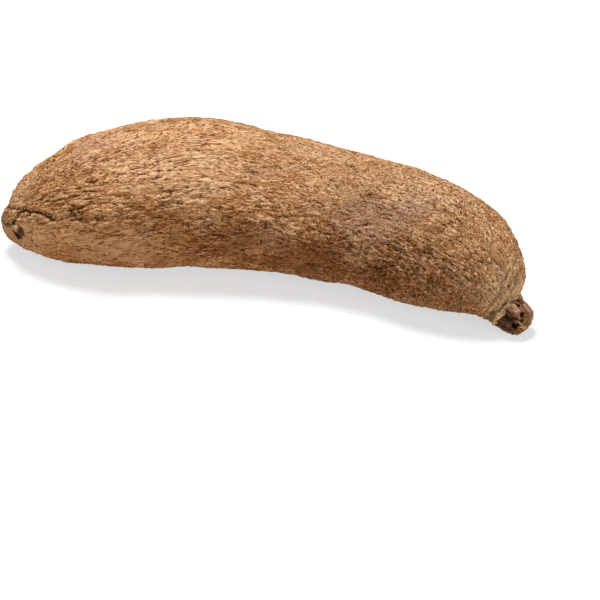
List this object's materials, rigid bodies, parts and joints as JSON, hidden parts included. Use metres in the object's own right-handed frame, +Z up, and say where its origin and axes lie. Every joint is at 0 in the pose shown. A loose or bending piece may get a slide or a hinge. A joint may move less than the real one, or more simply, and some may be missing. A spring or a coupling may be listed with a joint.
{
  "type": "puna yam tuber",
  "caption": "Whole puna yam: a long, gently curved tuber with thick corky brown bark, a blunt root tip and a dark woody crown stub, lying on its side.",
  "frame": {"origin": "on the surface the tuber lies on, under the middle of its bounding box", "axes": "+X along the tuber from its root tip to its crown stub, +Z up from the surface it lies on, +Y towards the outside of its bend"},
  "size_m": [0.3726, 0.1226, 0.0993],
  "materials": {
    "bark": "matte"
  },
  "bodies": {
    "root": {"yam_tuber": "bark"}
  },
  "joints": []
}
